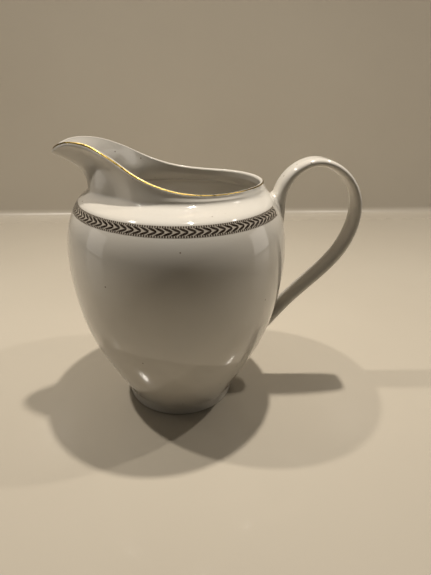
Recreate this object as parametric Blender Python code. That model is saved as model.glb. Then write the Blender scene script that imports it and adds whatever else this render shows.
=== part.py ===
"""Glazed bone-china milk jug with a pulled spout, a high loop handle, a gold lip line and a laurel band.

Frame: +Z up, spout towards -X, handle towards +X, symmetric about the XZ plane. The origin lies on
the surface that the jug stands on, under the middle of its overall box, so the jug's own turning axis
stands at AXIS_X. Built in metres; the driving dimensions below are in millimetres times MM.
"""
import math

import bmesh
import bpy
import numpy as np

MM = 0.001

# ---------------------------------------------------------------- driving dimensions
SPOUT_REACH = 49.1 * MM             # turning axis to the tip of the spout
HANDLE_REACH = 81.6 * MM            # turning axis to the back of the handle
GILDING_REACH = 0.15 * MM           # the gilding stands this far beyond the tip of the spout
AXIS_X = (SPOUT_REACH + GILDING_REACH - HANDLE_REACH) / 2

WALL = 2.4 * MM                     # cast wall
LIP = 1.8 * MM                      # wall at the lip, where it thins
FLOOR = 3.2 * MM                    # thickness of the bottom
GAP = 0.3 * MM                      # clearance left between pieces that touch

FOOT_RADIUS = 26.0 * MM
FOOT_HEIGHT = 6.0 * MM
FOOT_BREADTH = 5.0 * MM             # foot ring, outside to inside
FOOT_EDGE = 0.9 * MM                # rounding of the foot ring's lower corners

BODY_STATIONS = [                   # height and radius of the turned belly and shoulder
    (6.0 * MM, 26.6 * MM),
    (18.8 * MM, 33.3 * MM),
    (39.4 * MM, 42.1 * MM),
    (62.0 * MM, 46.6 * MM),
    (77.0 * MM, 47.1 * MM),
    (86.3 * MM, 45.8 * MM),
    (93.8 * MM, 43.0 * MM),
    (97.4 * MM, 40.8 * MM),
]
BAND_LOW = 93.8 * MM                # lower edge of the laurel band
SHOULDER = 97.4 * MM                # upper edge of the band; above it the plan turns oval

NECK_HEIGHT = 102.2 * MM            # narrowest level of the neck
NECK_LENGTH = 36.5 * MM             # half length of the oval neck, along X
NECK_BREADTH = 29.0 * MM            # half breadth of the oval neck, along Y
RIM_LENGTH = 36.3 * MM
RIM_BREADTH = 28.4 * MM
LIP_STATIONS = [                    # angle from the handle in degrees, and the height of the lip's crest
    (0, 104.7 * MM),
    (35, 104.6 * MM),
    (60, 104.35 * MM),
    (80, 104.9 * MM),
    (100, 106.8 * MM),
    (120, 110.5 * MM),
    (133.5, 113.7 * MM),
    (144.5, 116.3 * MM),
    (154.5, 118.4 * MM),
    (162.5, 119.8 * MM),
    (171, 120.5 * MM),
    (180, 120.5 * MM),
]
CROWN = LIP * 0.45                  # the lip's rounded crown stands this far above the wall that carries it
BEAK = SPOUT_REACH - RIM_LENGTH     # how far the spout stands out of the oval
BEAK_ANGLE = math.radians(12.8)
DROOP = 4.2 * MM                    # how far the very tip of the spout bends down
DROOP_ANGLE = math.radians(6.5)
PINCH_AT = math.radians(39)         # the oval is pinched in on both flanks of the spout
PINCH_ANGLE = math.radians(15)
NECK_PINCH = 2.8 * MM
RIM_PINCH = 1.3 * MM
FLARE = math.radians(66)            # outward lean of the lip at the spout's tip
FLARE_ANGLE = math.radians(30)
FLARE_BACK = math.radians(8)        # outward lean of the lip everywhere else
NECK_PULL = 0.9                     # how hard the neck's line is drawn upright before it leans out
SPOUT_PULL = 1.2

HANDLE_PATH = [                     # middle of the strap in the XZ plane, measured from the turning axis
    (43.0 * MM, 83.0 * MM),
    (43.5 * MM, 91.5 * MM),
    (44.3 * MM, 99.2 * MM),
    (49.2 * MM, 107.7 * MM),
    (58.0 * MM, 112.0 * MM),
    (66.5 * MM, 110.4 * MM),
    (73.6 * MM, 105.1 * MM),
    (78.0 * MM, 97.7 * MM),
    (79.3 * MM, 88.9 * MM),
    (77.7 * MM, 80.1 * MM),
    (74.1 * MM, 72.2 * MM),
    (69.0 * MM, 65.3 * MM),
    (60.6 * MM, 56.5 * MM),
    (52.6 * MM, 48.3 * MM),
    (46.2 * MM, 40.6 * MM),
    (40.2 * MM, 32.9 * MM),
    (34.0 * MM, 25.6 * MM),
]
HANDLE_WIDTH = 10.2 * MM            # strap, across
HANDLE_THICKNESS = 4.7 * MM         # strap, through
ROOT_THICKNESS = 7.4 * MM           # strap where it leaves the shoulder
CREST_THICKNESS = 4.1 * MM
FOOT_END_THICKNESS = 4.4 * MM
SECTION_POWER = 2.3                 # 2 is an ellipse, larger is squarer
UPPER_JOINT_END = 0.115             # share of the strap's length that the upper joint takes
LOWER_JOINT_START = 0.815           # share of the strap's length where the lower joint begins
CREST_AT = 0.26                     # share of the strap's length at the top of the loop

GOLD_WIDTH = 0.8 * MM
GOLD_THICKNESS = 0.25 * MM
BAND_THICKNESS = 0.2 * MM
BAND_OFFSET = 0.1 * MM              # the transfer's underside stands this far off the body
BAND_GAP_ANGLE = math.radians(23.5) # half angle of the gap that the band leaves for the handle

AROUND = 80                         # columns round the body
KEEP_OUT_TOP = 125.0 * MM           # above everything, for the cutter that clears the handle's ends
BELLY_ROWS = 13
BELLY_CROWDING = 0.85               # below 1 sets the rows closer together near the shoulder
NECK_ROWS = 5                       # rows from shoulder to neck, and again from neck to lip
HANDLE_ROWS = 64
JOINT_ROWS = 12
HANDLE_SIDES = 16

CHINA = ("bone_china_glaze", (0.86, 0.84, 0.79), 0.12, 0.0)
GOLD = ("burnished_gold", (0.83, 0.60, 0.22), 0.25, 1.0)
PRINT = ("laurel_print", (0.13, 0.11, 0.09), 0.30, 0.0)


# ---------------------------------------------------------------- curves
def natural_spline(xs, ys):
    """Return a function that runs smoothly through the points (natural cubic spline)."""
    xs = np.asarray(xs, float)
    ys = np.asarray(ys, float)
    step = np.diff(xs)
    slope = np.diff(ys, axis=0) / step.reshape(-1, *([1] * (ys.ndim - 1)))
    count = len(xs)
    matrix = np.eye(count)
    right = np.zeros_like(ys)
    for i in range(1, count - 1):
        matrix[i, i - 1] = step[i - 1]
        matrix[i, i] = 2 * (step[i - 1] + step[i])
        matrix[i, i + 1] = step[i]
        right[i] = 6 * (slope[i] - slope[i - 1])
    bend = np.linalg.solve(matrix, right)

    def curve(x):
        i = int(np.clip(np.searchsorted(xs, x) - 1, 0, count - 2))
        a = (xs[i + 1] - x) / step[i]
        b = (x - xs[i]) / step[i]
        cubic = ((a**3 - a) * bend[i] + (b**3 - b) * bend[i + 1]) * step[i] ** 2 / 6
        return a * ys[i] + b * ys[i + 1] + cubic

    return curve


def hermite(start, end, start_pull, end_pull, share):
    """Point on a cubic that leaves start along start_pull and reaches end along end_pull."""
    s2, s3 = share**2, share**3
    return (
        (2 * s3 - 3 * s2 + 1) * start
        + (s3 - 2 * s2 + share) * start_pull
        + (3 * s2 - 2 * s3) * end
        + (s3 - s2) * end_pull
    )


def bell(angle, width):
    return math.exp(-((angle / width) ** 2))


belly_radius = natural_spline([z for z, r in BODY_STATIONS], [r for z, r in BODY_STATIONS])


def oval(angle, length, breadth, beak, pinch):
    """Plan radius of the neck or the lip; angle 0 is the handle, pi the spout."""
    along, across = breadth * math.cos(angle), length * math.sin(angle)
    ellipse = length * breadth / math.hypot(along, across)
    from_spout = math.pi - abs(angle)
    return ellipse + beak * bell(from_spout, BEAK_ANGLE) - pinch * bell(from_spout - PINCH_AT, PINCH_ANGLE)


lip_height = natural_spline([angle for angle, z in LIP_STATIONS], [z for angle, z in LIP_STATIONS])


def lip_lean(angle):
    """Outward lean of the wall at the lip."""
    return FLARE_BACK + (FLARE - FLARE_BACK) * bell(math.pi - abs(angle), FLARE_ANGLE)


def rim_height(angle):
    """Height at which the outside of the wall ends and the lip's crown begins."""
    from_spout = math.pi - abs(angle)
    crown = CROWN + LIP / 2 * math.sin(lip_lean(angle))
    return lip_height(math.degrees(abs(angle))) - crown - DROOP * bell(from_spout, DROOP_ANGLE)


def meridian(angle):
    """Return the outer line of the jug above the shoulder as a function of 0..2 giving (radius, height).

    0 to 1 climbs the shoulder to the neck, 1 to 2 the neck to the lip.
    """
    low = np.array([belly_radius(SHOULDER), SHOULDER])
    neck = np.array([oval(angle, NECK_LENGTH, NECK_BREADTH, 0.0, NECK_PINCH), NECK_HEIGHT])
    rim = np.array([oval(angle, RIM_LENGTH, RIM_BREADTH, BEAK, RIM_PINCH), rim_height(angle)])
    reach = np.linalg.norm(neck - low)
    below = np.array([belly_radius(SHOULDER - MM), SHOULDER - MM])
    start_pull = (low - below) / np.linalg.norm(low - below) * reach * 0.75
    lean = lip_lean(angle)
    climb = np.linalg.norm(rim - neck)
    upright = np.array([0.0, 1.0])
    pull = NECK_PULL + (SPOUT_PULL - NECK_PULL) * bell(math.pi - abs(angle), FLARE_ANGLE)
    end_pull = np.array([math.sin(lean), math.cos(lean)]) * climb * pull * 1.1

    def line(share):
        if share <= 1:
            return hermite(low, neck, start_pull, upright * reach * 0.75, share)
        return hermite(neck, rim, upright * climb * pull, end_pull, share - 1)

    return line


def around_angles():
    """Angles of the columns: even steps along the lip, so the narrow spout gets enough of them."""
    dense = np.linspace(0, math.pi, 721)
    radii = [oval(a, RIM_LENGTH, RIM_BREADTH, BEAK, RIM_PINCH) for a in dense]
    points = np.array([[r * math.cos(a), r * math.sin(a)] for r, a in zip(radii, dense)])
    length = np.concatenate([[0], np.cumsum(np.linalg.norm(np.diff(points, axis=0), axis=1))])
    half = np.interp(np.linspace(0, length[-1], AROUND // 2 + 1), length, dense)
    return np.concatenate([half, 2 * math.pi - half[-2:0:-1]])


def signed(angle):
    return angle if angle <= math.pi else angle - 2 * math.pi


def outer_lines(angles, grow=0.0):
    """Rows of points of the outer surface, foot to lip, moved outwards by grow."""
    steps = np.linspace(0, 1, BELLY_ROWS)
    heights = [FOOT_HEIGHT + (BAND_LOW - FOOT_HEIGHT) * step**BELLY_CROWDING for step in steps]
    heights.append(SHOULDER)
    shares = np.linspace(0, 2, 2 * NECK_ROWS + 1)[1:]
    columns = []
    for angle in angles:
        line = meridian(signed(angle))
        section = [np.array([belly_radius(z), z]) for z in heights]
        section += [line(share) for share in shares]
        columns.append(section)
    grid = np.array(columns)
    points = np.empty(grid.shape[:2] + (3,))
    points[..., 0] = grid[..., 0] * np.cos(angles)[:, None]
    points[..., 1] = grid[..., 0] * np.sin(angles)[:, None]
    points[..., 2] = grid[..., 1]
    rows = points.transpose(1, 0, 2)
    return rows + grow * outward(rows)


def outward(rows):
    """Unit normals of a grid of rows of points, closed along each row."""
    along = np.roll(rows, -1, axis=1) - np.roll(rows, 1, axis=1)
    up = np.gradient(rows, axis=0)
    normal = np.cross(along, up)
    return normal / np.linalg.norm(normal, axis=2, keepdims=True)


# ---------------------------------------------------------------- mesh helpers
def material(spec):
    name, colour, roughness, metallic = spec
    made = bpy.data.materials.get(name)
    if made is None:
        made = bpy.data.materials.new(name)
        made.use_nodes = True
        shader = made.node_tree.nodes["Principled BSDF"]
        shader.inputs["Base Color"].default_value = (*colour, 1)
        shader.inputs["Roughness"].default_value = roughness
        shader.inputs["Metallic"].default_value = metallic
    return made


def add_object(name, mesh, spec):
    thing = bpy.data.objects.new(name, mesh)
    mesh.materials.append(material(spec))
    bpy.context.collection.objects.link(thing)
    thing.location.x = AXIS_X
    mesh.shade_smooth()
    mesh.set_sharp_from_angle(angle=math.radians(35))
    return thing


def loft(name, rows, closed_rows, caps):
    """Mesh through rows of points. closed_rows joins last row to first; caps fills the end rows."""
    mesh = bpy.data.meshes.new(name)
    shape = bmesh.new()
    made = [[shape.verts.new(point) for point in row] for row in rows]
    count = len(made[0])
    pairs = list(zip(made, made[1:] + made[:1])) if closed_rows else list(zip(made, made[1:]))
    for low, high in pairs:
        for i in range(count):
            j = (i + 1) % count
            shape.faces.new((low[i], low[j], high[j], high[i]))
    if caps:
        shape.faces.new(list(reversed(made[0])))
        shape.faces.new(made[-1])
    bmesh.ops.recalc_face_normals(shape, faces=shape.faces)
    if shape.calc_volume(signed=True) < 0:
        bmesh.ops.reverse_faces(shape, faces=shape.faces)
    shape.to_mesh(mesh)
    shape.free()
    return mesh


def difference(thing, cutter):
    cut = thing.modifiers.new("cut_" + cutter.name, "BOOLEAN")
    cut.operation = "DIFFERENCE"
    cut.solver = "EXACT"
    cut.object = cutter
    cutter.hide_render = True
    cutter.display_type = "WIRE"


# ---------------------------------------------------------------- the cast vessel
def lip_rows(outer_row, inner_row, steps=3):
    """Half-round rows that carry the outer wall over the lip to the inner wall."""
    middle = (outer_row + inner_row) / 2
    half = (outer_row - inner_row) / 2
    height = np.linalg.norm(half, axis=1).mean()
    rows = []
    for k in range(1, steps + 1):
        turn = math.pi * k / (steps + 1)
        rows.append(middle + half * math.cos(turn) + np.array([0, 0, height * math.sin(turn)]))
    return rows


def build_body(angles):
    outer = outer_lines(angles)
    normal = outward(outer)
    thickness = np.full(len(outer), WALL)
    thickness[-1] = LIP
    thickness[-2] = (LIP + WALL) / 2
    inner = outer - normal * thickness[:, None, None]
    inner = inner[inner[:, 0, 2] > FOOT_HEIGHT + FLOOR + 2 * MM]
    inner_floor = FOOT_HEIGHT + FLOOR
    corner = inner[0] * np.array([0.82, 0.82, 0])
    corner[:, 2] = inner_floor + 0.6 * MM
    centre_in = corner * np.array([0.35, 0.35, 0]) + np.array([0, 0, inner_floor])
    underside = outer[0] * np.array([0.4, 0.4, 1])
    rows = [underside, *outer, *lip_rows(outer[-1], inner[-1]), *inner[::-1], corner, centre_in]
    return add_object("jug_body", loft("jug_body", rows, False, True), CHINA)


def build_foot():
    """Turned foot ring: a nearly upright outside, a flat tread and rounded lower corners."""
    top = FOOT_HEIGHT - GAP
    out_low, in_low = FOOT_RADIUS - 0.3 * MM, FOOT_RADIUS - FOOT_BREADTH
    section = [(FOOT_RADIUS + 0.4 * MM, top), (FOOT_RADIUS - 0.1 * MM, 0.6 * top)]
    for turn in np.radians([0, 30, 60, 90]):
        section.append((out_low - FOOT_EDGE * (1 - math.cos(turn)), FOOT_EDGE * (1 - math.sin(turn))))
    for turn in np.radians([90, 60, 30, 0]):
        section.append((in_low + FOOT_EDGE * (1 - math.cos(turn)), FOOT_EDGE * (1 - math.sin(turn))))
    section.append((in_low - 0.4 * MM, top))
    turns = np.linspace(0, 2 * math.pi, AROUND, endpoint=False)
    rows = [[(r * math.cos(t), r * math.sin(t), z) for t in turns] for r, z in section]
    return add_object("foot_ring", loft("foot_ring", rows, True, False), CHINA)


# ---------------------------------------------------------------- the handle and its luted joints
def handle_path():
    """Middle line of the strap as a function of its length's share."""
    points = np.array(HANDLE_PATH)
    chord = np.concatenate([[0], np.cumsum(np.linalg.norm(np.diff(points, axis=0), axis=1))])
    return natural_spline(chord / chord[-1], points)


def strap_thickness(share):
    stations = [0, 0.08, CREST_AT, 0.5, 0.9, 1]
    sizes = [
        ROOT_THICKNESS,
        0.85 * ROOT_THICKNESS,
        CREST_THICKNESS,
        HANDLE_THICKNESS,
        HANDLE_THICKNESS,
        FOOT_END_THICKNESS,
    ]
    return np.interp(share, stations, sizes)


def strap(name, start, end, rows):
    path = handle_path()
    sections = []
    for share in np.linspace(start, end, rows):
        middle = path(share)
        ahead = path(share + 0.002) - path(share - 0.002)
        ahead /= np.linalg.norm(ahead)
        across = np.array([-ahead[1], ahead[0]])
        section = []
        for turn in np.linspace(0, 2 * math.pi, HANDLE_SIDES, endpoint=False):
            c, s = math.cos(turn), math.sin(turn)
            side = math.copysign(abs(c) ** (2 / SECTION_POWER), c) * HANDLE_WIDTH / 2
            out = math.copysign(abs(s) ** (2 / SECTION_POWER), s) * strap_thickness(share) / 2
            point = middle + across * out
            section.append((point[0], side, point[1]))
        sections.append(section)
    return add_object(name, loft(name, sections, False, True), CHINA)


def build_handle(angles):
    grown = outer_lines(angles, GAP)
    bottom = grown[0] * np.array([1, 1, 0])
    top = grown[-1] * np.array([1, 1, 0]) + np.array([0, 0, KEEP_OUT_TOP])
    keep_out = add_object("keep_out", loft("keep_out", [bottom, *grown, top], False, True), CHINA)
    chords = np.diff(np.array(HANDLE_PATH), axis=0)
    seam = GAP / np.linalg.norm(chords, axis=1).sum()
    upper = strap("upper_handle_joint", 0.0, UPPER_JOINT_END, JOINT_ROWS)
    strap("handle", UPPER_JOINT_END + seam, LOWER_JOINT_START - seam, HANDLE_ROWS)
    lower = strap("lower_handle_joint", LOWER_JOINT_START, 1.0, JOINT_ROWS)
    difference(upper, keep_out)
    difference(lower, keep_out)


# ---------------------------------------------------------------- decoration
def build_rim_gilding(angles):
    """Gold line that lies on the outer side of the lip's crown, all the way round."""
    outer = outer_lines(angles)
    normal = outward(outer)[-1]
    lip = outer[-1]
    upward = np.array([0, 0, 1.0])
    stand = normal * BAND_OFFSET
    low_in = lip + stand + upward * 0.05 * MM
    high_in = low_in + upward * GOLD_WIDTH
    rows = [low_in, low_in + normal * GOLD_THICKNESS, high_in + normal * GOLD_THICKNESS, high_in]
    return add_object("rim_gilding", loft("rim_gilding", rows, True, False), GOLD)


def build_laurel_band(angles):
    """Printed laurel transfer: a thin sleeve on the shoulder that stops at both sides of the handle."""
    low, high = belly_radius(BAND_LOW), belly_radius(SHOULDER)
    slope = math.atan2(low - high, SHOULDER - BAND_LOW)
    out = np.array([math.cos(slope), math.sin(slope)])
    corners = []
    for radius, z in ((low, BAND_LOW), (high, SHOULDER)):
        for stand in (BAND_OFFSET, BAND_OFFSET + BAND_THICKNESS):
            corners.append(np.array([radius, z]) + out * stand)
    section = [corners[0], corners[1], corners[3], corners[2]]
    turns = [a for a in angles if BAND_GAP_ANGLE < a < 2 * math.pi - BAND_GAP_ANGLE]
    rows = [[(r * math.cos(t), r * math.sin(t), z) for r, z in section] for t in turns]
    return add_object("laurel_band", loft("laurel_band", rows, False, True), PRINT)


def main():
    for thing in list(bpy.data.objects):
        bpy.data.objects.remove(thing, do_unlink=True)
    angles = around_angles()
    build_body(angles)
    build_foot()
    build_handle(angles)
    build_rim_gilding(angles)
    build_laurel_band(angles)


main()
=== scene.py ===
"""Looks of the glazed bone-china milk jug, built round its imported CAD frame.

The frame's +Z is up, the spout points to -X and the handle to +X. The jug's turning axis stands at AXIS_X.
Driving dimensions are in millimetres times MM, and heights are measured from the standing surface.
"""

import math

import bpy
import numpy as np
from mathutils import Matrix, Vector
from mathutils.bvhtree import BVHTree


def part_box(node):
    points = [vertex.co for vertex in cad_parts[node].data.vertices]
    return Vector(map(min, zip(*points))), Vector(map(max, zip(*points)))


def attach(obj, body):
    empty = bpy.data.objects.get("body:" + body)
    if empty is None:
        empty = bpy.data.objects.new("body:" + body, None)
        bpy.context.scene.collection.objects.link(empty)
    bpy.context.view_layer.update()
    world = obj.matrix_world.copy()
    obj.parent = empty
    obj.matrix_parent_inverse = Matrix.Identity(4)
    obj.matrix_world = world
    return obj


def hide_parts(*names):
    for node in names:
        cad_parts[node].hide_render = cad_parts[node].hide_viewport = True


MM = 0.001
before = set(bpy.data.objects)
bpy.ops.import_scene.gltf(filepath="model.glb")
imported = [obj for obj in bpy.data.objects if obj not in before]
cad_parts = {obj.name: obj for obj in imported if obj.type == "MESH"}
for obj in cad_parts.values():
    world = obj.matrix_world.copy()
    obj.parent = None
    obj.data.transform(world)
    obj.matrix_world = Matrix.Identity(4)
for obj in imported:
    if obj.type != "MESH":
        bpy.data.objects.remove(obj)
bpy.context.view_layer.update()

# ---------------------------------------------------------------- driving dimensions
foot_low, foot_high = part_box("foot_ring")
gold_low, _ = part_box("rim_gilding")
AXIS_X = (foot_low.x + foot_high.x) / 2
GILDING_REACH = 0.15 * MM           # the CAD's gilding stands this far beyond the tip of the spout
SPOUT_REACH = AXIS_X - gold_low.x - GILDING_REACH

WALL = 2.4 * MM                     # cast wall
LIP = 1.8 * MM                      # wall at the lip, where it thins
THINNING = 24                       # rows below the lip over which it thins
FLOOR_TOP = 9.2 * MM                # inside bottom
FLOOR_CURVE = 6.0 * MM              # the inside wall rounds into the bottom from this far above it
RECESS = 6.0 * MM                   # underside of the bottom, inside the foot ring
RECESS_ROUND = 2.0 * MM             # fillet between the recess and the foot ring
FOOT_TOP = 6.4 * MM                 # where the foot ring ends and the belly begins
FOOT_OUTSIDE = 25.85 * MM           # radius of the foot ring
FOOT_INSIDE = 21.0 * MM
FOOT_EDGE = 0.9 * MM                # rounding of the foot ring's lower edges
CREASE = 0.7 * MM                   # softness of the crease between foot and belly
HIDDEN = 0.5 * MM                   # how far the body's closing face lies inside the foot ring

BODY_STATIONS = [                   # height and radius of the turned belly and shoulder
    (6.0 * MM, 26.6 * MM),
    (18.8 * MM, 33.3 * MM),
    (39.4 * MM, 42.1 * MM),
    (62.0 * MM, 46.6 * MM),
    (77.0 * MM, 47.1 * MM),
    (86.3 * MM, 45.8 * MM),
    (93.8 * MM, 43.0 * MM),
    (97.4 * MM, 40.8 * MM),
]
BAND_LOW = 93.8 * MM                # lower edge of the laurel band
SHOULDER = 97.4 * MM                # upper edge of the band; above it the plan turns oval

NECK_HEIGHT = 102.2 * MM            # narrowest level of the neck
NECK_LENGTH = 36.5 * MM             # half length of the oval neck, along X
NECK_BREADTH = 29.0 * MM            # half breadth of the oval neck, along Y
RIM_LENGTH = 36.3 * MM
RIM_BREADTH = 28.4 * MM
LIP_STATIONS = [                    # angle from the handle in degrees, and the height of the lip's crest
    (0, 104.7 * MM),
    (35, 104.6 * MM),
    (60, 104.35 * MM),
    (80, 104.9 * MM),
    (100, 106.8 * MM),
    (120, 110.5 * MM),
    (133.5, 113.7 * MM),
    (144.5, 116.3 * MM),
    (154.5, 118.4 * MM),
    (162.5, 119.8 * MM),
    (171, 120.5 * MM),
    (180, 120.5 * MM),
]
CROWN = LIP * 0.45                  # the lip's rounded crown stands this far above the wall below it
BEAK = SPOUT_REACH - RIM_LENGTH     # how far the spout stands out of the oval
BEAK_ANGLE = math.radians(12.8)
DROOP = 4.2 * MM                    # how far the very tip of the spout bends down
DROOP_ANGLE = math.radians(6.5)
PINCH_AT = math.radians(39)         # the oval is pinched in on both flanks of the spout
PINCH_ANGLE = math.radians(15)
NECK_PINCH = 2.8 * MM
RIM_PINCH = 1.3 * MM
FLARE = math.radians(66)            # outward lean of the lip at the spout's tip
FLARE_ANGLE = math.radians(30)
FLARE_BACK = math.radians(8)        # outward lean of the lip everywhere else
LEAN_IN = math.radians(24)          # beside the handle the neck leans in, straight up from the shoulder
LEAN_IN_ANGLE = math.radians(52)
NECK_EASE = 0.6 * MM                # and stands this much further out
SHOULDER_PULL = 0.75                # how far the neck's line keeps the shoulder's direction
NECK_PULL = 0.9                     # how hard it is drawn upright before it leans out
SPOUT_PULL = 1.2
LIP_PULL = 1.1
LIP_UPRIGHT = 0.75                  # the crown points this much up, and the rest along the wall
INNER_SMOOTHING = 60                # the inside of the neck is softer than its outside

HANDLE_PATH = [                     # middle of the strap in the XZ plane, measured from the turning axis
    (43.0 * MM, 83.0 * MM),
    (43.5 * MM, 91.5 * MM),
    (44.3 * MM, 99.2 * MM),
    (49.2 * MM, 107.7 * MM),
    (58.0 * MM, 112.0 * MM),
    (66.5 * MM, 110.4 * MM),
    (73.6 * MM, 105.1 * MM),
    (78.0 * MM, 97.7 * MM),
    (79.3 * MM, 88.9 * MM),
    (77.7 * MM, 80.1 * MM),
    (74.1 * MM, 72.2 * MM),
    (69.0 * MM, 65.3 * MM),
    (60.6 * MM, 56.5 * MM),
    (52.6 * MM, 48.3 * MM),
    (46.2 * MM, 40.6 * MM),
    (40.2 * MM, 32.9 * MM),
    (34.0 * MM, 25.6 * MM),
]
HANDLE_WIDTH = 10.2 * MM            # strap, across
HANDLE_THICKNESS = 4.7 * MM         # strap, through
ROOT_THICKNESS = 7.4 * MM           # strap where it leaves the shoulder
CREST_THICKNESS = 4.1 * MM
FOOT_END_THICKNESS = 4.4 * MM
SECTION_POWER = 2.25                # 2 is an ellipse, larger is squarer
CREST_AT = 0.26                     # share of the strap's length at the top of the loop
CHANNEL_DEPTH = 0.45 * MM           # hollow along the outer face of the strap, over the crest
RIDGE_HEIGHT = 0.25 * MM            # soft ridge along the inner face of the loop
RIDGE_BREADTH = 0.22                # as a share of the strap's half width
UPPER_SEAM = 0.17                   # shares of the strap's length where the luted joints end
LOWER_SEAM = 0.80
UPPER_FILLETS = (2.4 * MM, 1.2 * MM, 3.0 * MM)     # radii at the strap's sides, outer and inner face
LOWER_FILLETS = (1.6 * MM, 3.0 * MM, 1.0 * MM)
FILLET_LEAST = 0.9 * MM             # a fillet runs at least this far, and at most this many radii
FILLET_MOST = 2.2
SKIRT_REACH = 0.5 * MM              # past the fillet the joint runs on this far and sinks into the body
SKIRT_SUNK = 0.35 * MM

GOLD_FROM = math.radians(32)        # the gold line on the lip's crown; 0 faces outwards, 90 degrees up
GOLD_TO = math.radians(80)
GOLD_STAND = 0.03 * MM              # how far the gold stands off the glaze
GOLD_SUNK = 0.02 * MM               # how far its edges lie in the glaze
GOLD_DEPTH = 0.1 * MM               # how far its hidden underside lies in the lip

BAND_END_LOW = math.radians(22.3)   # the band's ends, measured from the handle
BAND_END_HIGH = math.radians(22.8)
GROUND_STAND = 0.03 * MM            # how far the layers of the print stand off the body
TICK_STAND = 0.045 * MM
LEAF_STAND = 0.06 * MM
LEAF_CROWN = 0.03 * MM              # rise of a leaf's middle
LEAF_PAIRS = 97                     # in a full circle
LEAF_LENGTH = 1.3                   # in pitches of the pairs, as are the next three
LEAF_SLANT = 0.55                   # how far a leaf's breadth slants along the band
LEAF_PHASE = 0.8                    # place of a pair's roots within its pitch
LEAF_CLEAR = 0.15                   # space between the last roots and the end of the band
LEAF_ROOT = 0.045                   # root's distance from the band's middle, as a share of its height
LEAF_SPREAD = 0.25                  # and how much further out the leaf's point lies
LEAF_MIDDLE = 0.15                  # distance of the leaf's highest point
LEAF_BREADTH = 0.135                # half its breadth
TICKS_PER_PAIR = 3
TICK_HEIGHT = 0.19                  # ticks along both edges, as a share of the band's height
TICK_MARGIN = 0.015                 # and their distance from the edges

COLUMNS = 384                       # mesh columns round the jug
LIP_STEPS = 12                      # mesh steps over the lip's crown
HANDLE_SIDES = 56
HANDLE_ROWS = 130
JOINT_ROWS = 14
FILLET_STEPS = 12
BAND_STEPS = 900
BAND_LEVELS = 6
LEAF_STEPS = 8

WALL_Y = 0.30                       # the wall behind the counter
COVE = 0.008                        # radius of the cove between them
BELOW = 0.02 * MM                   # the counter lies this far under the foot's tread
LAMP_HEIGHT = 0.60
LAMP_Y = 0.04
LAMP_SIZE = 0.022
LAMP_SPREAD = math.radians(110)
LAMPS = [                           # place along X from the jug's axis, and power in watts
    (-0.60, 0.30),
    (-0.27, 0.98),
    (0.065, 0.97),
    (0.40, 0.84),
]
PANELS = [                          # dim side panels, in the same terms
    (-0.75, 0.20),
    (0.75, 0.32),
]
PANEL_Y = -0.02
PANEL_HEIGHT = 0.16
PANEL_SIZE = 0.3
WARM = (1.0, 0.93, 0.84)

CAMERA_PLACE = (AXIS_X - 3.03 * MM, -182.4 * MM, 143.7 * MM)
CAMERA_HEADING = math.radians(6.27)     # to the right of +Y
CAMERA_TILT = math.radians(26.13)       # downwards
CAMERA_ROLL = math.radians(1.275)
CAMERA_LENS = 27.05                     # millimetres, on a sensor 36 mm wide


# ---------------------------------------------------------------- curves
def natural_spline(xs, ys):
    """Return a function that runs smoothly through the points, and straight on beyond the ends.

    It is a natural cubic spline. Each y is a number or a point.
    """
    xs = np.asarray(xs, float)
    ys = np.asarray(ys, float)
    step = np.diff(xs)
    slope = np.diff(ys, axis=0) / step.reshape(-1, *([1] * (ys.ndim - 1)))
    count = len(xs)
    matrix = np.eye(count)
    right = np.zeros_like(ys)
    for i in range(1, count - 1):
        matrix[i, i - 1] = step[i - 1]
        matrix[i, i] = 2 * (step[i - 1] + step[i])
        matrix[i, i + 1] = step[i]
        right[i] = 6 * (slope[i] - slope[i - 1])
    bend = np.linalg.solve(matrix, right)

    def inside(x):
        i = int(np.clip(np.searchsorted(xs, x) - 1, 0, count - 2))
        a = (xs[i + 1] - x) / step[i]
        b = (x - xs[i]) / step[i]
        cubic = ((a**3 - a) * bend[i] + (b**3 - b) * bend[i + 1]) * step[i] ** 2 / 6
        return a * ys[i] + b * ys[i + 1] + cubic

    def curve(x):
        held = min(max(x, xs[0]), xs[-1])
        if held == x:
            return inside(x)
        small = (xs[-1] - xs[0]) * 1e-4
        inner = held + small if held == xs[0] else held - small
        return inside(held) + (inside(held) - inside(inner)) / (held - inner) * (x - held)

    return curve


def hermite(start, end, start_pull, end_pull, share):
    """Point on a cubic that leaves start along start_pull and reaches end along end_pull."""
    s2, s3 = share**2, share**3
    return (
        (2 * s3 - 3 * s2 + 1) * start
        + (s3 - 2 * s2 + share) * start_pull
        + (3 * s2 - 2 * s3) * end
        + (s3 - s2) * end_pull
    )


def bezier(a, b, c, d, share):
    back = 1 - share
    return back**3 * a + 3 * back**2 * share * b + 3 * back * share**2 * c + share**3 * d


def bell(angle, width):
    return math.exp(-((angle / width) ** 2))


def smooth(share):
    share = min(max(share, 0.0), 1.0)
    return (1 - math.cos(math.pi * share)) / 2


def unit(vectors):
    return vectors / np.linalg.norm(vectors, axis=-1, keepdims=True)


belly_radius = natural_spline([z for z, r in BODY_STATIONS], [r for z, r in BODY_STATIONS])


def turned_radius(z):
    """Outer radius of foot and belly, with the soft crease between them."""
    belly, foot = belly_radius(z), FOOT_OUTSIDE
    gap = max(CREASE - abs(belly - foot), 0.0) / CREASE
    return max(belly, foot) + gap**2 * CREASE / 4


def oval(angle, length, breadth, beak, pinch):
    """Plan radius of the neck or the lip; angle 0 is the handle, pi the spout."""
    along, across = breadth * math.cos(angle), length * math.sin(angle)
    ellipse = length * breadth / math.hypot(along, across)
    from_spout = math.pi - abs(angle)
    pinched = pinch * bell(from_spout - PINCH_AT, PINCH_ANGLE)
    return ellipse + beak * bell(from_spout, BEAK_ANGLE) - pinched


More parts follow.
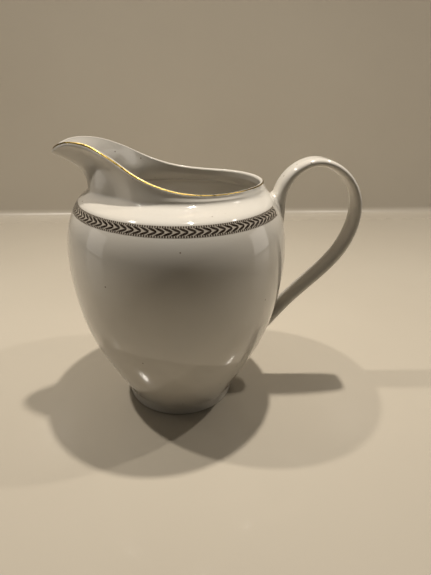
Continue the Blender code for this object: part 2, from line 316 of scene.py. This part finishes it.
lip_height = natural_spline([angle for angle, z in LIP_STATIONS], [z for angle, z in LIP_STATIONS])


def lip_lean(angle):
    """Outward lean of the wall at the lip."""
    flare = (FLARE - FLARE_BACK) * bell(math.pi - abs(angle), FLARE_ANGLE)
    return FLARE_BACK + flare - LEAN_IN * bell(angle, LEAN_IN_ANGLE)


def rim_height(angle):
    """Height at which the outside of the wall ends and the lip's crown begins."""
    from_spout = math.pi - abs(angle)
    crown = CROWN + LIP / 2 * math.sin(lip_lean(angle))
    return lip_height(math.degrees(abs(angle))) - crown - DROOP * bell(from_spout, DROOP_ANGLE)


def meridian(angle):
    """Outer line above the shoulder: 0 to 1 climbs the shoulder to the neck, 1 to 2 the neck to the lip."""
    low = np.array([belly_radius(SHOULDER), SHOULDER])
    beside_handle = bell(angle, LEAN_IN_ANGLE)
    neck_radius = oval(angle, NECK_LENGTH, NECK_BREADTH, 0.0, NECK_PINCH) + NECK_EASE * beside_handle
    neck = np.array([neck_radius, NECK_HEIGHT])
    rim = np.array([oval(angle, RIM_LENGTH, RIM_BREADTH, BEAK, RIM_PINCH), rim_height(angle)])
    reach = np.linalg.norm(neck - low)
    climb = np.linalg.norm(rim - neck)
    below = np.array([belly_radius(SHOULDER - MM), SHOULDER - MM])
    start_pull = unit(low - below) * reach * SHOULDER_PULL
    neck_lean = LEAN_IN * beside_handle
    upright = np.array([-math.sin(neck_lean), math.cos(neck_lean)])
    pull = NECK_PULL + (SPOUT_PULL - NECK_PULL) * bell(math.pi - abs(angle), FLARE_ANGLE)
    lean = lip_lean(angle)
    end_pull = np.array([math.sin(lean), math.cos(lean)]) * climb * pull * LIP_PULL

    def line(share):
        if share <= 1:
            return hermite(low, neck, start_pull, upright * reach * SHOULDER_PULL, share)
        return hermite(neck, rim, upright * climb * pull, end_pull, share - 1)

    return line


def column_angles():
    """Angles of the columns: even steps along the lip, so that the narrow spout gets enough of them."""
    dense = np.linspace(0, math.pi, 1441)
    radii = [oval(a, RIM_LENGTH, RIM_BREADTH, BEAK, RIM_PINCH) for a in dense]
    points = np.array([[r * math.cos(a), r * math.sin(a)] for r, a in zip(radii, dense)])
    length = np.concatenate([[0], np.cumsum(np.linalg.norm(np.diff(points, axis=0), axis=1))])
    half = np.interp(np.linspace(0, length[-1], COLUMNS // 2 + 1), length, dense)
    return np.concatenate([half, 2 * math.pi - half[-2:0:-1]])


def signed(angle):
    return angle if angle <= math.pi else angle - 2 * math.pi


# ---------------------------------------------------------------- mesh helpers
def around(radius_height, angles):
    """Ring of points for each (radius, height) of one turned section."""
    return np.array(
        [[(AXIS_X + r * math.cos(t), r * math.sin(t), z) for t in angles] for r, z in radius_height]
    )


def grid_normals(rows):
    """Unit normals of rows of points that are closed along each row."""
    along = np.roll(rows, -1, axis=1) - np.roll(rows, 1, axis=1)
    up = np.gradient(rows, axis=0)
    nothing = 1e-30                 # keeps a point whose rows meet from dividing by zero
    return unit(np.cross(along, up) + nothing)


def add(name, mesh, node, slot, material):
    """Object that rides on the jug and stands for one CAD node."""
    thing = bpy.data.objects.new(name, mesh)
    bpy.context.scene.collection.objects.link(thing)
    mesh.materials.append(material)
    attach(thing, "root")
    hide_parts(node)
    return thing


def piece(name, rows, normals, node, slot, material, wrap=False):
    """Object from rows of points, closed along each row, with given normals so that neighbours shade as one.

    wrap joins the last row to the first; otherwise the end rows are filled.
    """
    count_rows, count = rows.shape[:2]
    faces = []
    for i in range(count_rows if wrap else count_rows - 1):
        k = (i + 1) % count_rows
        for j in range(count):
            m = (j + 1) % count
            faces.append((i * count + j, i * count + m, k * count + m, k * count + j))
    if not wrap:
        faces.append(tuple(reversed(range(count))))
        faces.append(tuple(range((count_rows - 1) * count, count_rows * count)))
    mesh = bpy.data.meshes.new(name)
    mesh.from_pydata(rows.reshape(-1, 3).tolist(), [], faces)
    mesh.shade_smooth()
    mesh.normals_split_custom_set_from_vertices(normals.reshape(-1, 3).tolist())
    mesh.update()
    return add(name, mesh, node, slot, material)


def band_layer(name, vertices, faces, ink):
    """One printed layer of the laurel band."""
    mesh = bpy.data.meshes.new(name)
    mesh.from_pydata(vertices, [], faces)
    mesh.shade_smooth()
    mesh.update()
    return add(name, mesh, "laurel_band", "laurel_print", ink)


# ---------------------------------------------------------------- materials
class Nodes:
    """Shorthand for a material's node tree."""

    def __init__(self, name):
        self.material = bpy.data.materials.new(name)
        self.material.use_nodes = True
        self.tree = self.material.node_tree
        self.shader = self.tree.nodes["Principled BSDF"]

    def node(self, kind, settings=None, **inputs):
        made = self.tree.nodes.new(kind)
        for key, value in (settings or {}).items():
            setattr(made, key, value)
        for key, value in inputs.items():
            self.put(made.inputs[key.replace("_", " ")], value)
        return made

    def put(self, socket, value):
        if isinstance(value, bpy.types.NodeSocket):
            self.tree.links.new(value, socket)
        else:
            socket.default_value = value

    def place(self):
        return self.node("ShaderNodeTexCoord").outputs["Object"]

    def coordinate(self, axis):
        return self.node("ShaderNodeSeparateXYZ", Vector=self.place()).outputs[axis]

    def noise(self, scale, detail=2.0, roughness=0.5):
        made = self.node(
            "ShaderNodeTexNoise", Vector=self.place(), Scale=scale, Detail=detail, Roughness=roughness
        )
        return made.outputs["Fac"]

    def ramp(self, value, *stops):
        """Colour that blends through the stops, each a position and an RGB colour."""
        made = self.node("ShaderNodeValToRGB", Fac=value)
        bar = made.color_ramp.elements
        while len(bar) < len(stops):
            bar.new(0.5)
        for element, (at, colour) in zip(bar, stops):
            element.position = at
            element.color = (*colour, 1)
        return made.outputs["Color"]

    def span(self, value, from_low, from_high, to_low, to_high):
        """Value moved from one range to another, and held at its ends."""
        made = self.node("ShaderNodeMapRange", Value=value)
        made.inputs["From Min"].default_value = from_low
        made.inputs["From Max"].default_value = from_high
        made.inputs["To Min"].default_value = to_low
        made.inputs["To Max"].default_value = to_high
        return made.outputs["Result"]

    def mix(self, share, first, second):
        """Blend of two colours; a Mix node's colour sockets are 6, 7 and 2, as others share their names."""
        made = self.node("ShaderNodeMix", {"data_type": "RGBA"})
        self.put(made.inputs["Factor"], share)
        self.put(made.inputs[6], first)
        self.put(made.inputs[7], second)
        return made.outputs[2]

    def math(self, operation, first, second):
        made = self.node("ShaderNodeMath", {"operation": operation})
        self.put(made.inputs[0], first)
        self.put(made.inputs[1], second)
        return made.outputs[0]

    def specks(self, spacing, size, share):
        """1 inside small scattered specks, 0 elsewhere; share of the cells of that spacing hold one."""
        cells = self.node("ShaderNodeTexVoronoi", Vector=self.place(), Scale=1 / spacing)
        spot = self.span(cells.outputs["Distance"], size / spacing, 0.5 * size / spacing, 0, 1)
        red = self.node("ShaderNodeSeparateColor", Color=cells.outputs["Color"]).outputs["Red"]
        chosen = self.math("LESS_THAN", red, share)
        return self.math("MULTIPLY", spot, chosen)

    def finish(self, colour, rough, bump=None, **fixed):
        """Wire up the shader; fixed holds the values that are the same all over."""
        self.put(self.shader.inputs["Base Color"], colour)
        self.put(self.shader.inputs["Roughness"], rough)
        if bump:
            self.put(self.shader.inputs["Normal"], bump.outputs["Normal"])
        for key, value in fixed.items():
            self.shader.inputs[key.replace("_", " ")].default_value = value
        return self.material


CREAM = (0.625, 0.597, 0.54)
CREAM_WARM = (0.635, 0.597, 0.527)
IRON = (0.20, 0.155, 0.115, 1)
PINHOLE = (0.42, 0.37, 0.30, 1)
BISCUIT = (0.56, 0.50, 0.41)
GRIME = (0.16, 0.13, 0.10)
TREAD_HEIGHT = 0.5 * MM             # the glaze stops this far above the standing surface


def glaze(name, bare_tread=False):
    """Warm white bone china under a clear glaze: faint mottling, ripples, pinholes and a few iron specks.

    Where the tread is bare, the china shows matt and a little grimy.
    """
    n = Nodes(name)
    mottle = n.noise(38, 3)
    colour = n.ramp(mottle, (0.3, CREAM), (0.7, CREAM_WARM))
    iron = n.specks(5.5 * MM, 0.42 * MM, 0.32)
    colour = n.mix(iron, colour, IRON)
    pinholes = n.specks(4.1 * MM, 0.20 * MM, 0.45)
    colour = n.mix(n.math("MULTIPLY", pinholes, 0.45), colour, PINHOLE)
    rough = n.span(n.noise(160, 4, 0.6), 0.3, 0.7, 0.055, 0.10)
    ripple = n.noise(95, 2, 0.4)
    relief = n.math("SUBTRACT", n.math("MULTIPLY", ripple, 0.05), n.math("MULTIPLY", pinholes, 0.3))
    if bare_tread:
        ragged = n.math("ADD", n.coordinate("Z"), n.math("MULTIPLY", n.noise(420, 3), 0.35 * MM))
        bare = n.span(ragged, TREAD_HEIGHT + 0.25 * MM, TREAD_HEIGHT, 0, 1)
        rim_line = n.ramp(n.noise(300, 4, 0.7), (0.25, GRIME), (0.7, BISCUIT))
        colour = n.mix(bare, colour, rim_line)
        rough = n.math("ADD", rough, n.math("MULTIPLY", bare, 0.55))
        grain = n.math("MULTIPLY", n.noise(2600, 2, 0.7), n.math("MULTIPLY", bare, 0.25))
        relief = n.math("ADD", relief, grain)
    bump = n.node("ShaderNodeBump", Strength=0.35, Distance=0.25 * MM, Height=relief)
    return n.finish(colour, rough, bump, IOR=1.52, Coat_Weight=0.35, Coat_Roughness=0.03)


def gold_leaf():
    """Burnished gold line: brushed on, thin in places and rubbed along its edges."""
    n = Nodes("gold")
    worn = n.noise(900, 4, 0.6)
    rubbed, middling, bright = (0.16, 0.11, 0.025), (0.28, 0.195, 0.05), (0.43, 0.315, 0.09)
    colour = n.ramp(worn, (0.3, rubbed), (0.55, middling), (0.8, bright))
    rough = n.span(n.noise(500, 3), 0.3, 0.7, 0.24, 0.38)
    bump = n.node("ShaderNodeBump", Strength=0.2, Distance=0.05 * MM, Height=worn)
    return n.finish(colour, rough, bump, Metallic=1.0)


def print_ink(name, dark, light, scale):
    """Fired print: uneven ink with a slight gloss."""
    n = Nodes(name)
    colour = n.ramp(n.noise(scale, 3, 0.6), (0.3, dark), (0.75, light))
    rough = n.span(n.noise(scale * 0.7, 2), 0.3, 0.7, 0.22, 0.38)
    return n.finish(colour, rough, Coat_Weight=0.3, Coat_Roughness=0.08)


# ---------------------------------------------------------------- body and foot
def outer_rows(angles):
    """Outer surface from the foot's tread to the lip, and the index of the row where the belly begins."""
    section = []
    for turn in np.radians([90, 72, 54, 36, 18]):
        r = FOOT_OUTSIDE - FOOT_EDGE * (1 - math.cos(turn))
        section.append((r, FOOT_EDGE * (1 - math.sin(turn))))
    section += [(turned_radius(z), z) for z in np.linspace(FOOT_EDGE, FOOT_TOP, 12)]
    belly_start = len(section) - 1
    section += [(turned_radius(z), z) for z in np.linspace(FOOT_TOP, SHOULDER, 74)[1:]]
    turned = around(section, angles)
    shares = np.linspace(0, 2, 49)[1:]
    lines = [meridian(signed(t)) for t in angles]
    upper = np.empty((len(shares), len(angles), 3))
    for i, share in enumerate(shares):
        for j, t in enumerate(angles):
            r, z = lines[j](share)
            upper[i, j] = (AXIS_X + r * math.cos(t), r * math.sin(t), z)
    return np.concatenate([turned, upper]), belly_start


def inner_rows(outer):
    """Inside of the wall, from just above the bottom to the lip, where the wall thins."""
    count = int((outer[:, 0, 2] > FLOOR_TOP + FLOOR_CURVE).sum())
    thickness = np.full(count, WALL)
    thickness[-THINNING:] += (LIP - WALL) * np.array([smooth(s) for s in np.linspace(0, 1, THINNING)])
    inner = outer[-count:] - grid_normals(outer)[-count:] * thickness[:, None, None]
    for _ in range(INNER_SMOOTHING):
        inner[1:-1] = (inner[:-2] + 2 * inner[1:-1] + inner[2:]) / 4
    return inner


def lip_point(outer_lip, inner_lip, wall_end, turn):
    """Row of points on the lip's rounded crown; turn 0 is its outside, pi its inside."""
    middle = (outer_lip + inner_lip) / 2
    half = (outer_lip - inner_lip) / 2
    height = np.linalg.norm(half, axis=1).mean()
    return middle + half * math.cos(turn) + wall_end * height * math.sin(turn)


def bottom_rows(inner):
    """Rounded inside bottom, from the lowest row of the inside wall to its middle."""
    low_inner = inner[0]
    centre = np.array([AXIS_X, 0, FLOOR_TOP])
    flat_start = centre + (low_inner - centre) * np.array([0.5, 0.5, 0])
    wall_pull = low_inner - (inner[1] - inner[0]) * 6
    floor_pull = flat_start + (low_inner - flat_start) * np.array([0.6, 0.6, 0])
    rows = [bezier(low_inner, wall_pull, floor_pull, flat_start, s) for s in np.linspace(0, 1, 10)[1:]]
    rows += [centre + (flat_start - centre) * share for share in (0.6, 0.3, 0.02)]
    return np.array(rows)


def foot_section():
    """Fillet in the recess, inside of the foot ring and the inner rounding of its tread."""
    fillet = [
        (FOOT_INSIDE - RECESS_ROUND * (1 - math.sin(t)), RECESS - RECESS_ROUND * (1 - math.cos(t)))
        for t in np.radians([20, 40, 60, 80])
    ]
    edge = [
        (FOOT_INSIDE + FOOT_EDGE * (1 - math.cos(t)), FOOT_EDGE * (1 - math.sin(t)))
        for t in np.radians([10, 30, 50, 70, 90])
    ]
    return fillet + edge


def build_vessel(angles, china, foot_china):
    """Body and foot ring; the lip's outer and inner rows and the crown's direction go to the gilding."""
    outer, belly_start = outer_rows(angles)
    inner = inner_rows(outer)
    wall_end = unit(unit(outer[-1] - outer[-2]) * (1 - LIP_UPRIGHT) + np.array([0, 0, LIP_UPRIGHT]))
    turns = [math.pi * k / LIP_STEPS for k in range(1, LIP_STEPS)]
    crown = np.array([lip_point(outer[-1], inner[-1], wall_end, turn) for turn in turns])

    recess_section = [(r * MM, RECESS) for r in (0.4, 6, 12, 17, 19)]
    recess = around(recess_section, angles)
    foot_under = around(foot_section(), angles)
    outside = np.concatenate([recess, foot_under, outer])
    outside_normal = grid_normals(outside)
    foot_start = len(recess) - 1
    foot_end = len(recess) + len(foot_under) + belly_start

    skin = np.concatenate([outer[belly_start:], crown, inner[::-1], bottom_rows(inner)])
    skin_normal = grid_normals(skin)
    skin_normal[0] = outside_normal[foot_end]

    # The body closes on itself inside the foot ring, out of sight.
    step_in = recess[-1] + np.array([0, 0, HIDDEN])
    axis = np.array([AXIS_X, 0])
    step_out = outer[belly_start].copy()
    step_out[:, :2] = (step_out[:, :2] - axis) * 0.97 + axis
    step_out[:, 2] += HIDDEN
    step_normal = np.tile([0.0, 0.0, -1.0], (2, len(angles), 1))
    body_rows = np.concatenate([recess, [step_in, step_out], skin])
    body_normal = np.concatenate([outside_normal[:len(recess)], step_normal, skin_normal])
    body = piece("jug_body", body_rows, body_normal, "jug_body", "glazed_china", china)

    foot = slice(foot_start, foot_end + 1)
    piece("foot_ring", outside[foot], outside_normal[foot], "foot_ring", "foot_china", foot_china, wrap=True)
    return body, outer[-1], inner[-1], wall_end


# ---------------------------------------------------------------- handle
THICKNESS_STATIONS = [              # share of the strap's length, and its thickness there
    (0, ROOT_THICKNESS),
    (0.08, 0.85 * ROOT_THICKNESS),
    (CREST_AT, CREST_THICKNESS),
    (0.5, HANDLE_THICKNESS),
    (0.9, HANDLE_THICKNESS),
    (1, FOOT_END_THICKNESS),
]
thickness_spline = natural_spline([s for s, t in THICKNESS_STATIONS], [t for s, t in THICKNESS_STATIONS])


def strap_thickness(share):
    return float(thickness_spline(min(max(share, 0.0), 1.0)))


def stretch(share, start, end, rise, fall):
    """1 between start and end, falling smoothly to 0 outside them over rise before and fall after."""
    return smooth((share - start + rise) / rise) * smooth((end + fall - share) / fall)


def strap_line(path, turn):
    """Function that gives the point of one long line of the strap's surface at a share of its length."""
    c, s = math.cos(turn), math.sin(turn)
    flat_c = math.copysign(abs(c) ** (2 / SECTION_POWER), c)
    flat_s = math.copysign(abs(s) ** (2 / SECTION_POWER), s)
    channel = CHANNEL_DEPTH * (1 - flat_c**2) ** 2
    ridge = RIDGE_HEIGHT * bell(flat_c, RIDGE_BREADTH)

    def line(share):
        small = 0.002
        ahead = unit(path(share + small) - path(share - small))
        across = np.array([-ahead[1], ahead[0]])
        out = flat_s * strap_thickness(share) / 2
        if s > 0:
            out -= channel * stretch(share, 0.22, 0.42, 0.1, 0.2)
        else:
            out -= ridge * stretch(share, 0.34, 0.66, 0.12, 0.12)
        point = path(share) + across * out
        return np.array([AXIS_X + point[0], flat_c * HANDLE_WIDTH / 2, point[1]])

    return line


def handle_path():
    """Function that gives the strap's middle at a share of its length, and that length."""
    points = np.array(HANDLE_PATH)
    chord = np.concatenate([[0], np.cumsum(np.linalg.norm(np.diff(points, axis=0), axis=1))])
    return natural_spline(chord / chord[-1], points), chord[-1]


def crossing(line, seam, towards, tree):
    """Share of the strap's length at which one of its lines goes into the body."""
    previous = None
    for step in np.arange(0, 1, 0.004):
        share = seam + towards * step
        point = Vector(line(share))
        near, facing, _, _ = tree.find_nearest(point)
        depth = (point - near).dot(facing)
        if depth < 0 and previous is not None:
            return previous[0] + (share - previous[0]) * previous[1] / (previous[1] - depth)
        previous = (share, depth)
    raise RuntimeError("a line of the strap doesn't reach the body")


def fillet_reach(back, outward, upright, fillets):
    """How far the fillet runs along both the strap and the body, from the radius and the angle there."""
    turning = math.acos(float(np.clip(-back @ outward, -1, 1)))
    radius = fillets[0] + (fillets[1 if upright > 0 else 2] - fillets[0]) * upright**2
    return float(np.clip(radius * math.tan(turning / 2), FILLET_LEAST, FILLET_MOST * radius))


def joint_rows(lines, turns, seam, towards, length, tree, fillets):
    """Rows from the strap's seam down to the body, and the body's normals where they end.

    The last part of each line is swept out in a fillet that lies on the body. towards is -1 at the
    strap's upper end and 1 at its lower end.
    """
    shares = np.array([crossing(line, seam, towards, tree) for line in lines])
    for _ in range(2):
        shares = (np.roll(shares, 1) + 2 * shares + np.roll(shares, -1)) / 4
    crossings = np.array([line(share) for line, share in zip(lines, shares)])
    middle = crossings.mean(axis=0)
    tangent = unit(np.roll(crossings, -1, axis=0) - np.roll(crossings, 1, axis=0))

    columns, facings = [], []
    for k, line in enumerate(lines):
        near, facing, _, _ = tree.find_nearest(Vector(crossings[k]))
        meet = np.array(near)
        outward = unit(np.cross(tangent[k], np.array(facing)))
        if outward @ (meet - middle) < 0:
            outward = -outward
        back = unit(line(shares[k] - towards * 0.01) - line(shares[k]))
        reach = fillet_reach(back, outward, math.sin(turns[k]), fillets)
        begin = shares[k] - towards * reach / length
        start = line(begin)
        landing, facing, _, _ = tree.find_nearest(Vector(meet + outward * reach))
        landing, facing = np.array(landing), np.array(facing)
        column = [line(share) for share in np.linspace(seam, begin, JOINT_ROWS)]
        for share in np.linspace(0, 1, FILLET_STEPS + 1)[1:]:
            a = start + (meet - start) * 0.6
            b = landing + (meet - landing) * 0.6
            column.append(bezier(start, a, b, landing, share))
        column.append(landing + outward * SKIRT_REACH - facing * SKIRT_SUNK)
        columns.append(column)
        facings.append(facing)
    return np.array(columns).transpose(1, 0, 2), np.array(facings)


def build_handle(body, china):
    """Strap and its two luted joints, cut from one run of rows so that they shade as one."""
    tree = BVHTree.FromObject(body, bpy.context.evaluated_depsgraph_get())
    path, length = handle_path()
    turns = np.linspace(0, 2 * math.pi, HANDLE_SIDES, endpoint=False)
    lines = [strap_line(path, turn) for turn in turns]
    shares = np.linspace(UPPER_SEAM, LOWER_SEAM, HANDLE_ROWS)
    strap = np.array([[line(share) for line in lines] for share in shares])
    upper, upper_facing = joint_rows(lines, turns, UPPER_SEAM, -1, length, tree, UPPER_FILLETS)
    lower, lower_facing = joint_rows(lines, turns, LOWER_SEAM, 1, length, tree, LOWER_FILLETS)
    whole = np.concatenate([upper[::-1], strap[1:-1], lower])
    normal = grid_normals(whole)
    normal[:2] = upper_facing
    normal[-2:] = lower_facing
    first, last = len(upper) - 1, len(whole) - len(lower)
    parts = [
        ("upper_handle_joint", "joint_china", slice(0, first + 1)),
        ("handle", "handle_china", slice(first, last + 1)),
        ("lower_handle_joint", "joint_china", slice(last, len(whole))),
    ]
    for name, slot, rows in parts:
        piece(name, whole[rows], normal[rows], name, slot, china)


# ---------------------------------------------------------------- decoration
def brush_wander(angle):
    """Uneven edge that a brush leaves along the gold line, as an angle over the lip's crown."""
    return 0.035 * math.sin(7 * angle) + 0.025 * math.sin(19 * angle + 1) + 0.02 * math.sin(43 * angle + 2)


def crown_tilt(half, wall_end):
    """How far the lip's crown is turned outwards at one point, as an angle over the crown."""
    level = math.hypot(half[0], half[1])
    across = math.atan2(-half[2], level)
    outwards = math.atan2(wall_end[:2] @ half[:2] / level, wall_end[2])
    return across / 2 + outwards / 2


def build_gold(angles, outer_lip, inner_lip, wall_end, material):
    """Gold line on the outer half of the lip's crown, closed by a row hidden in the lip."""
    wander = [brush_wander(t) for t in angles]
    rows = []
    for share in (0, 0.12, 0.5, 0.88, 1):
        stand = 0 if share in (0, 1) else GOLD_STAND
        row = np.empty_like(outer_lip)
        for j in range(len(angles)):
            edge = wander[j] if share < 0.5 else wander[(j * 3) % len(angles)] * 0.6
            half = (outer_lip[j] - inner_lip[j]) / 2
            turn = GOLD_FROM + (GOLD_TO - GOLD_FROM) * share + edge + crown_tilt(half, wall_end[j])
            height = LIP / 2 + stand
            spread = height / (LIP / 2)
            middle = (outer_lip[j] + inner_lip[j]) / 2
            row[j] = middle + half * spread * math.cos(turn) + wall_end[j] * height * math.sin(turn)
        rows.append(row)
    rows = np.array(rows)
    rows[0, :, 2] -= GOLD_SUNK
    rows[-1, :, 2] -= GOLD_SUNK
    floor_row = (rows[0] + rows[-1]) / 2 - wall_end * GOLD_DEPTH
    normal = grid_normals(rows)
    closed = np.concatenate([rows, [floor_row]])
    closed_normal = np.concatenate([normal, [-normal[2]]])
    piece("rim_gilding", closed, closed_normal, "rim_gilding", "gilding", material, wrap=True)


def band_point(angle, up_share, stand):
    """Point of the laurel band: up_share 0 is its lower edge and 1 its upper edge."""
    z = BAND_LOW + (SHOULDER - BAND_LOW) * up_share
    small = 0.1 * MM
    rise = (belly_radius(z + small) - belly_radius(z - small)) / (2 * small)
    out = 1 / math.hypot(1, rise)
    r = belly_radius(z) + stand * out
    return (AXIS_X + r * math.cos(angle), r * math.sin(angle), z - stand * rise * out)


def band_end(up_share):
    return BAND_END_LOW + (BAND_END_HIGH - BAND_END_LOW) * up_share


def build_band_ground(ink):
    """Pale grey ground of the laurel band."""
    vertices, faces = [], []
    for i in range(BAND_STEPS + 1):
        for k in range(BAND_LEVELS + 1):
            up = k / BAND_LEVELS
            angle = band_end(up) + (2 * math.pi - 2 * band_end(up)) * i / BAND_STEPS
            vertices.append(band_point(angle, up, GROUND_STAND))
    row = BAND_LEVELS + 1
    for i in range(BAND_STEPS):
        for k in range(BAND_LEVELS):
            a = i * row + k
            faces.append((a, a + row, a + row + 1, a + 1))
    band_layer("laurel_ground", vertices, faces, ink)


def build_band_ticks(ink):
    """Row of fine ticks along each edge of the band."""
    pitch = 2 * math.pi / LEAF_PAIRS / TICKS_PER_PAIR
    half = pitch * 0.3
    vertices, faces = [], []
    for i in range(LEAF_PAIRS * TICKS_PER_PAIR):
        angle = (i + 0.5) * pitch
        if not band_end(1) < angle - half < angle + half < 2 * math.pi - band_end(1):
            continue
        for low, high in ((TICK_MARGIN, TICK_HEIGHT), (1 - TICK_HEIGHT, 1 - TICK_MARGIN)):
            start = len(vertices)
            for up in (low, (low + high) / 2, high):
                vertices.append(band_point(angle - half, up, TICK_STAND))
                vertices.append(band_point(angle + half, up, TICK_STAND))
            faces.append((start, start + 1, start + 3, start + 2))
            faces.append((start + 2, start + 3, start + 5, start + 4))
    band_layer("laurel_ticks", vertices, faces, ink)


def leaf_breadth(share):
    """Half breadth of a leaf, as a share of the band's height, from its stem (0) to its point (1)."""
    return LEAF_BREADTH * math.sin(math.pi * share**0.8) ** 0.75


def build_band_leaves(ink):
    """Pairs of dark almond leaves that grow from the middle of the band towards its edges."""
    pitch = 2 * math.pi / LEAF_PAIRS
    leaf_length = pitch * LEAF_LENGTH
    outline = [(share, leaf_breadth(share)) for share in np.linspace(0, 1, LEAF_STEPS)]
    outline += [(share, -leaf_breadth(share)) for share in np.linspace(1, 0, LEAF_STEPS)[1:-1]]
    vertices, faces = [], []
    for i in range(LEAF_PAIRS):
        root = (i + LEAF_PHASE) * pitch
        if not band_end(0) + leaf_length < root < 2 * math.pi - band_end(0) - LEAF_CLEAR * pitch:
            continue
        for side in (1, -1):
            start = len(vertices)
            for share, breadth in outline:
                along = root - leaf_length * share - breadth * pitch * LEAF_SLANT
                up = 0.5 + side * (LEAF_ROOT + LEAF_SPREAD * share + breadth * 0.9)
                vertices.append(band_point(along, up, LEAF_STAND))
            middle = len(vertices)
            up = 0.5 + side * LEAF_MIDDLE
            vertices.append(band_point(root - leaf_length / 2, up, LEAF_STAND + LEAF_CROWN))
            for k in range(len(outline)):
                ring = (start + k, start + (k + 1) % len(outline), middle)
                faces.append(ring if side > 0 else ring[::-1])
    band_layer("laurel_leaves", vertices, faces, ink)


# ---------------------------------------------------------------- object
angles = column_angles()
china = glaze("china_glaze")
body, outer_lip, inner_lip, wall_end = build_vessel(angles, china, glaze("foot_glaze", bare_tread=True))
build_handle(body, china)
build_gold(angles, outer_lip, inner_lip, wall_end, gold_leaf())
build_band_ground(print_ink("print_ground", (0.40, 0.357, 0.295), (0.54, 0.49, 0.41), 1500))
build_band_ticks(print_ink("print_tick", (0.025, 0.017, 0.011), (0.075, 0.056, 0.040), 1500))
build_band_leaves(print_ink("print_leaf", (0.016, 0.010, 0.006), (0.050, 0.034, 0.022), 1200))


# ---------------------------------------------------------------- floor, light and camera
def counter_stone_and_shade():
    """Pale polished stone with painted shade that darkens it towards the counter's front, where the room in
    front of the jug is dark; the wall is less polished.
    """
    n = Nodes("floor")
    stone_and_shade = n.ramp(n.noise(6, 3), (0.35, (0.46, 0.414, 0.338)), (0.65, (0.48, 0.434, 0.356)))
    depth = n.coordinate("Y")
    # painted shade: the counter's colour falls to a dark brown towards its front, standing in for the dim
    # room there
    painted_front_shade = n.span(depth, -0.11, -0.26, 0, 1)
    stone_and_shade = n.mix(painted_front_shade, stone_and_shade, (0.17, 0.15, 0.12, 1))
    polish = n.span(n.noise(60, 2), 0.3, 0.7, 0.08, 0.11)
    wall = n.span(depth, 0.24, 0.29, 0, 0.25)
    return n.finish(stone_and_shade, n.math("ADD", polish, wall))


def build_stage():
    """Pale counter with a plain wall of the same stone behind it, joined by a small cove."""
    profile = [(y, 0.0) for y in (-3.0, -1.0, -0.3, -0.1, 0.0, 0.1, WALL_Y - COVE)]
    for turn in np.radians([15, 30, 45, 60, 75, 90]):
        profile.append((WALL_Y - COVE + COVE * math.sin(turn), COVE * (1 - math.cos(turn))))
    profile += [(WALL_Y, 0.1), (WALL_Y, 0.4), (WALL_Y, 1.6)]
    across = np.linspace(-2.4, 2.4, 25)
    vertices = [(x, y, z - BELOW) for y, z in profile for x in across]
    faces = []
    for i in range(len(profile) - 1):
        for j in range(len(across) - 1):
            a = i * len(across) + j
            faces.append((a, a + 1, a + 1 + len(across), a + len(across)))
    mesh = bpy.data.meshes.new("floor")
    mesh.from_pydata(vertices, [], faces)
    mesh.shade_smooth()
    mesh.materials.append(counter_stone_and_shade())
    floor = bpy.data.objects.new("floor", mesh)
    bpy.context.scene.collection.objects.link(floor)


def soft_lamp(name, shape, size, place, target, power):
    """Warm area lamp, aimed at target."""
    data = bpy.data.lights.new(name, "AREA")
    data.shape = shape
    data.size = size
    data.energy = power
    data.color = WARM
    lamp = bpy.data.objects.new(name, data)
    bpy.context.scene.collection.objects.link(lamp)
    lamp.location = place
    lamp.rotation_euler = (Vector(target) - Vector(place)).to_track_quat("-Z", "Y").to_euler()
    return lamp


def build_lamps():
    """A row of four small warm lamps above the counter, and a dim panel on each side."""
    for number, (along, power) in enumerate(LAMPS):
        x = AXIS_X + along
        place, target = (x, LAMP_Y, LAMP_HEIGHT), (x, LAMP_Y, 0)
        lamp = soft_lamp(f"lamp_{number}", "DISK", LAMP_SIZE, place, target, power)
        lamp.data.spread = LAMP_SPREAD
    for number, (along, power) in enumerate(PANELS):
        place, target = (AXIS_X + along, PANEL_Y, PANEL_HEIGHT), (AXIS_X, 0, 0.05)
        soft_lamp(f"side_panel_{number}", "SQUARE", PANEL_SIZE, place, target, power)


def build_world():
    """Dim room: nearly dark at the level of the jug, and a little lighter overhead."""
    world = bpy.data.worlds.new("studio")
    bpy.context.scene.world = world
    world.use_nodes = True
    tree = world.node_tree
    place = tree.nodes.new("ShaderNodeTexCoord")
    height = tree.nodes.new("ShaderNodeSeparateXYZ")
    ramp = tree.nodes.new("ShaderNodeValToRGB")
    level, overhead = ramp.color_ramp.elements
    level.position, overhead.position = 0.30, 0.85
    level.color = (0.014, 0.0125, 0.011, 1)
    overhead.color = (0.12, 0.11, 0.095, 1)
    tree.links.new(place.outputs["Generated"], height.inputs[0])
    tree.links.new(height.outputs["Z"], ramp.inputs["Fac"])
    tree.links.new(ramp.outputs["Color"], tree.nodes["Background"].inputs["Color"])
    tree.nodes["Background"].inputs["Strength"].default_value = 1.0
    bpy.context.scene.view_settings.view_transform = "Standard"


def build_camera():
    """Camera at arm's length, a little above the jug, on the side where the spout is on the left."""
    data = bpy.data.cameras.new("camera")
    data.sensor_width = 36
    data.lens = CAMERA_LENS
    data.clip_start = 0.01
    camera = bpy.data.objects.new("camera", data)
    bpy.context.scene.collection.objects.link(camera)
    flat = math.cos(CAMERA_TILT)
    east, north = math.sin(CAMERA_HEADING), math.cos(CAMERA_HEADING)
    ahead = Vector((east * flat, north * flat, -math.sin(CAMERA_TILT)))
    level = Vector((north, -east, 0))
    upright = level.cross(ahead)
    right = level * math.cos(CAMERA_ROLL) + upright * math.sin(CAMERA_ROLL)
    top = upright * math.cos(CAMERA_ROLL) - level * math.sin(CAMERA_ROLL)
    rows = [(right[k], top[k], -ahead[k], CAMERA_PLACE[k]) for k in range(3)]
    camera.matrix_world = Matrix((*rows, (0, 0, 0, 1)))
    bpy.context.scene.camera = camera


build_stage()
build_lamps()
build_world()
build_camera()
